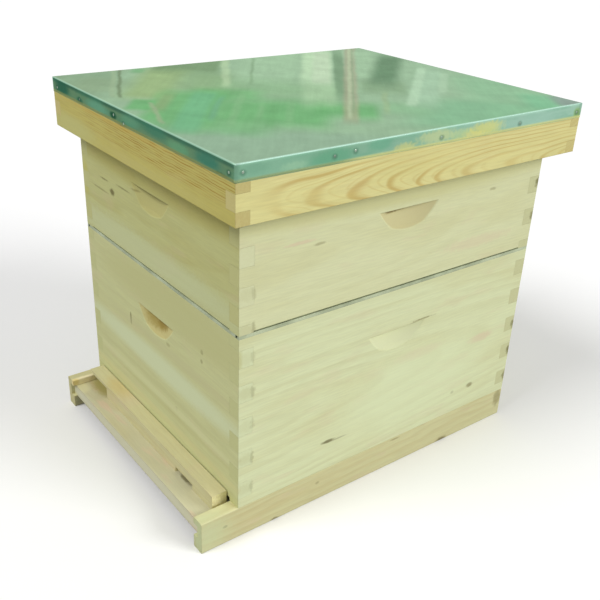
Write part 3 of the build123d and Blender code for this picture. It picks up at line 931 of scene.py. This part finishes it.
# Painted reflections of the aprons, in rows like the marks of the boxes: blotches where the dents
# bend them, yellow ones where they mirror the wood
apron_right, apron_front = roof_high.x / mm, roof_low.y / mm
metal_depth = 4
apron_reflections = marks_on("x", apron_right, metal_depth, (
    (-215, 500, 70, 16, (124, 165, 140), 0.7, 0.3),
    (-238, 502, 22, 9, (108, 150, 126), 0.5, 0.6),
    (-190, 497, 24, 6, (140, 176, 146), 0.6, 0.8),
    (-140, 498, 42, 14, (98, 152, 122), 0.8, 0.3),
    (-72, 503, 26, 10, (96, 154, 126), 0.6, 0.3),
    (-34, 493, 22, 9, (192, 188, 120), 0.6, 0.8),
    (18, 500, 44, 11, (182, 190, 138), 0.6, 0.8),
    (60, 497, 30, 9, (168, 187, 138), 0.6, 0.3),
    (82, 494, 30, 6, (196, 190, 126), 0.6, 0.8),
    (103, 499, 44, 11, (196, 194, 118), 0.7, 0.8),
    (200, 498, 90, 14, (147, 179, 163), 0.7, 0.3),
    (286, 496, 10, 12, (128, 160, 92), 0.8, 0.3),
)) + marks_on("y", apron_front, metal_depth, (
    (-200, 500, 34, 14, (52, 98, 80), 0.85, 0.3),
    (-143, 494, 14, 6, (52, 106, 84), 0.8, 0.4),
    (-88, 497, 46, 10, (104, 158, 132), 0.7, 0.3),
    (-42, 497, 13, 6.5, (38, 86, 62), 0.9, 0.5),
    (4, 500, 34, 10, (98, 152, 124), 0.6, 0.3),
    (66, 502, 44, 9, (68, 124, 102), 0.7, 0.3),
    (118, 497, 34, 8, (106, 160, 122), 0.6, 0.4),
    (180, 499, 36, 11, (62, 122, 104), 0.75, 0.3),
    (206, 491, 18, 4, (58, 92, 64), 0.7, 0.5),
))
nails_right = ((-254, 500), (-137, 499), (-108, 501), (25, 498), (167, 497), (285, 498))
nails_front = ((-218, 497), (-143, 496), (-41, 498), (-14, 493), (221, 498))
nail_drop = 0.6
# Painted shade: a dark ring round each nail, where the sheet dimples
nail_dimple_shade = marks_on("x", apron_right, metal_depth, (
    (along, height - nail_drop, 6, 5, (78, 112, 92), 0.6, 0.3) for along, height in nails_right
)) + marks_on("y", apron_front, metal_depth, (
    (along, height - nail_drop, 6, 5, (46, 84, 66), 0.6, 0.3) for along, height in nails_front
))
print("stripes", len(stripes), "and marks on the aprons", len(apron_reflections + nail_dimple_shade))

# %% [markdown]
# The stripes of painted reflection are laid on one after the other, on places that wander a
# little, so that no border is straight. The aprons are darker, with a bright hem below and a
# painted highlight where the sheet folds, and a painted dark reflection lies along the far fold.
# A metal mirrors more at a flat angle, and a tint for that edge keeps the greens there.

# %% Sheet of the roof, finish
streak_turn = math.radians(52.0)
wander_scale, wander_reach = 0.02, 16.0
wander_across, wander_along = 0.35, 1.5
streak_scales, blotch_scales = (0.16, 0.012), (0.02, 0.02, 0.09)
rear_fade, hem_side_fade = (-250.0, 260.0), (-140.0, -90.0)
upper_fade, hem_fade, fold_highlight_fade = (502.0, 506.0), (494.4, 491.0), (507.6, 508.6)
highlight_start, highlight_full = 3.0, 1.2
far_start, far_full = 3.5, 2.0
cloud_scale, haze_scale, grit_scale = 0.03, 0.035, 0.8
edge_shares = 0.835, 0.527


def fade_in_out(value, start, end, soft):
    """One between two places, and nothing outside them."""
    rise = ease(value, start - soft, start + soft)
    return times(rise, ease(value, end - soft, end + soft, 1.0, 0.0))


def soft_stripe(across, along, stripe):
    """The share of a stripe at a place: full inside, fading over its softness."""
    _, share, low, high, start, end, soft, soft_end, *leans = stripe
    for lean in leans:
        across = minus(across, times(minus(along, start), lean))
    inside = fade_in_out(across, low, high, soft)
    reach = fade_in_out(along, start, end, soft_end)
    return times(times(inside, reach), share)


def top_colour(place, parts):
    """The top's painted reflections: every stripe in turn, on places that wander a little, with fine streaks.
    """
    wander = times(minus(ripple(spread(place, wander_scale)), 0.5), wander_reach)
    sine, cosine = math.sin(streak_turn), math.cos(streak_turn)
    along = plus(times(parts["x"], -sine), times(parts["y"], cosine))
    across = plus(times(parts["x"], cosine), times(parts["y"], sine))
    far_along = plus(along, times(wander, wander_along))
    across = plus(across, times(wander, wander_across))
    colour = zinc_grey
    for stripe in stripes:
        colour = mix(soft_stripe(across, far_along, stripe), colour, stripe[0])
    streak_place = combine(times(across, streak_scales[0]), times(along, streak_scales[1]), 0.0)
    streaks = ease(ripple(streak_place, 3.0, 0.6), 0.25, 0.75, 0.97, 1.03)
    cloud = ease(ripple(spread(place, cloud_scale), 3.0, 0.6), 0.3, 0.7, 0.96, 1.04)
    return shaded(colour, times(streaks, cloud))


def apron_colour(place, parts, faces_x):
    """The turned-down sides' painted reflections: darker at the short ends of the hive, blotched, with a
    painted highlight at the fold.
    """
    blotches = ripple(vector_calc("MULTIPLY", place, blotch_scales), 3.0, 0.6)
    blotches = ease(blotches, 0.40, 0.70, 0.0, 0.6)
    # Painted reflections: the long sides lighter towards the rear, the short ends darker under the fold, both
    # blotched
    long_side = mix(ease(parts["y"], *rear_fade), (116, 155, 130), (145, 179, 160))
    long_side = mix(blotches, long_side, (104, 152, 126))
    short_side = mix(ease(parts["z"], *upper_fade), (102, 135, 104), (71, 108, 87))
    short_side = mix(blotches, short_side, (74, 128, 102))
    side = mix(faces_x, short_side, long_side)
    side = paint_marks(place, side, apron_reflections + nail_dimple_shade)
    long_hem = mix(ease(parts["y"], *hem_side_fade), (156, 172, 124), (212, 214, 148))
    hem = mix(faces_x, (142, 150, 98), long_hem)
    side = mix(ease(parts["z"], *hem_fade, 0.0, 0.85), side, hem)
    # A painted highlight where the sheet folds over
    fold = mix(faces_x, (150, 188, 166), (150, 180, 166))
    return mix(ease(parts["z"], *fold_highlight_fade, 0.0, 0.9), side, fold)


def sheet_material():
    """Semi-gloss galvanised sheet with painted reflections, streaked on top and blotched on its aprons."""
    material, tree, shader = start_material("galvanised sheet")
    place, parts = millimetres(tree)
    normal = facing(tree)
    faces_up = ease(calc("ABSOLUTE", normal[2]), 0.55, 0.9)
    faces_x = ease(calc("ABSOLUTE", normal[0]), 0.4, 0.7)
    top = top_colour(place, parts)
    # Painted highlights along the top's edges, over the folds
    right_highlight = ease(parts["x"], apron_right - highlight_start, apron_right - highlight_full, 0.0, 0.62)
    front_highlight = ease(parts["y"], apron_front + highlight_start, apron_front + highlight_full, 0.0, 0.28)
    top = mix(calc("MAXIMUM", right_highlight, front_highlight), top, (194, 224, 210))
    apron_rear = roof_high.y / mm
    # A painted dark reflection along the far fold
    far_reflection = ease(parts["y"], apron_rear - far_start, apron_rear - far_full, 0.0, 0.6)
    top = mix(far_reflection, top, reflected_dark)
    colour = mix(faces_up, apron_colour(place, parts, faces_x), top)
    above, below = (
        join("VectorMath", {0: colour, 1: (share,) * 3, 2: (1 - share,) * 3},
            operation="MULTIPLY_ADD").outputs[0] for share in edge_shares)
    haze = ripple(spread(place, haze_scale), 3.0)
    grit = ripple(spread(place, grit_scale))
    feed(shader, {
        "Base Color": colour,
        "Roughness": ease(haze, 0.25, 0.75, 0.5, 0.62),
        "Metallic": 1.0,
        "Specular Tint": vector_calc("DIVIDE", above, below),
        "Normal": relief(grit, 0.06, 0.1),
    })
    return material


sheet.data.materials.append(sheet_material())
print("sheet finished")

# %% [markdown]
# Short nails with broad heads hold the apron to the rim. A head is a shallow dome: a small sphere,
# squashed flat and sunk until its top keeps to the outer size of the construction model's sheet.
# The new sheet lies a little inside that size, so the heads stand out from it. All heads are one
# piece, because nobody ever handles them one by one.

# %% Nails of the apron
nail_head = 1.7 * mm
nail_rise = 0.2 * mm
head_sides, head_rings = 20, 10


def make_nails():
    """Domed heads on the four aprons."""
    shape = bmesh.new()
    places = []
    for along, height in nails_right:
        places.append((Vector((roof_high.x, along * mm, height * mm)), Vector((1, 0, 0))))
        places.append((Vector((roof_low.x, sheet_middle.y * 2 - along * mm, height * mm)), Vector((-1, 0, 0))))
    for along, height in nails_front:
        places.append((Vector((along * mm, roof_low.y, height * mm)), Vector((0, -1, 0))))
        places.append((Vector((-along * mm, roof_high.y, height * mm)), Vector((0, 1, 0))))
    squash = Matrix.Diagonal((nail_head, nail_head, nail_rise * 2, 1.0))
    for place, outward in places:
        turn = outward.to_track_quat("Z", "Y").to_matrix().to_4x4()
        seat = Matrix.Translation(place - outward * nail_rise * 2) @ turn @ squash
        bmesh.ops.create_uvsphere(shape, u_segments=head_sides, v_segments=head_rings, radius=1.0, matrix=seat)
    bmesh.ops.recalc_face_normals(shape, faces=shape.faces)
    piece = mesh_object(shape, "roof_nails")
    piece.data.shade_smooth()
    return piece


nails = make_nails()
nails.data.materials.append(zinc("nail heads", (158, 176, 158), (92, 112, 98), 0.35))
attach(nails, "roof")
print("nail heads", len(nails_right) * 2 + len(nails_front) * 2)

# %% [markdown]
# The photograph has no room: the hive stands in plain white. A wide pale floor gives it that and
# keeps the soft shadow under it. To a camera ray or a reflection the floor is white, and to the
# light that bounces off it, it is a plain pale grey, so the hive isn't lit from below too much.

# %% Floor and background
floor_half = 15.0
floor_bounce = (0.36, 0.36, 0.35, 1.0)
white = (1.0, 1.0, 1.0, 1.0)


def seen_directly(tree):
    """One for a camera ray and for what a mirror or clear body shows, else nothing."""
    path = add(tree, "LightPath").outputs
    camera_or_mirror = calc("MAXIMUM", path["Is Camera Ray"], path["Is Glossy Ray"])
    return calc("MAXIMUM", camera_or_mirror, path["Is Transmission Ray"])


def make_floor():
    """A wide level plane, which is no part of the hive."""
    shape = bmesh.new()
    bmesh.ops.create_grid(shape, x_segments=1, y_segments=1, size=floor_half)
    piece = mesh_object(shape, "studio_floor")
    material, tree, shader = start_material("studio floor")
    colour = mix(seen_directly(tree), floor_bounce, white)
    feed(shader, {"Base Color": colour, "Roughness": 0.9, "Specular IOR Level": 0.0})
    piece.data.materials.append(material)
    return piece


floor = make_floor()

# %% [markdown]
# The light is that of a bright overcast yard: an even sky, a soft sun from the hive's right and a
# little from behind, so the long side is the brightest and the rim throws a short soft shadow on
# it, and a second one from above and in front for the entrance side.

# %% Light
sky_strength = 0.42
# Each sun: name, strength, width in degrees, direction that the light comes from
suns = (
    ("soft_sun", 1.86, 30, (0.785, 0.453, 0.423)),
    ("front_sun", 1.45, 26, (-0.1, -0.62, 0.78)),
)

world = bpy.data.worlds.new("sky")
bpy.context.scene.world = world
world.use_nodes = True
sky = world.node_tree
sky.nodes.clear()
sky_light = add(sky, "Background", {"Color": white, "Strength": sky_strength}).outputs[0]
sky_white = add(sky, "Background", {"Color": white, "Strength": 1.0}).outputs[0]
sky_mix = add(sky, "MixShader", {0: seen_directly(sky), 1: sky_light, 2: sky_white}).outputs[0]
add(sky, "OutputWorld", {0: sky_mix})

for name, strength, width, direction in suns:
    sun_data = bpy.data.lights.new(name, "SUN")
    sun_data.energy = strength
    sun_data.angle = math.radians(width)
    sun = add_object(name, sun_data)
    sun.rotation_mode = "QUATERNION"
    sun.rotation_quaternion = Vector(direction).to_track_quat("Z", "Y")
bpy.context.scene.view_settings.view_transform = "Standard"
print("light ready")
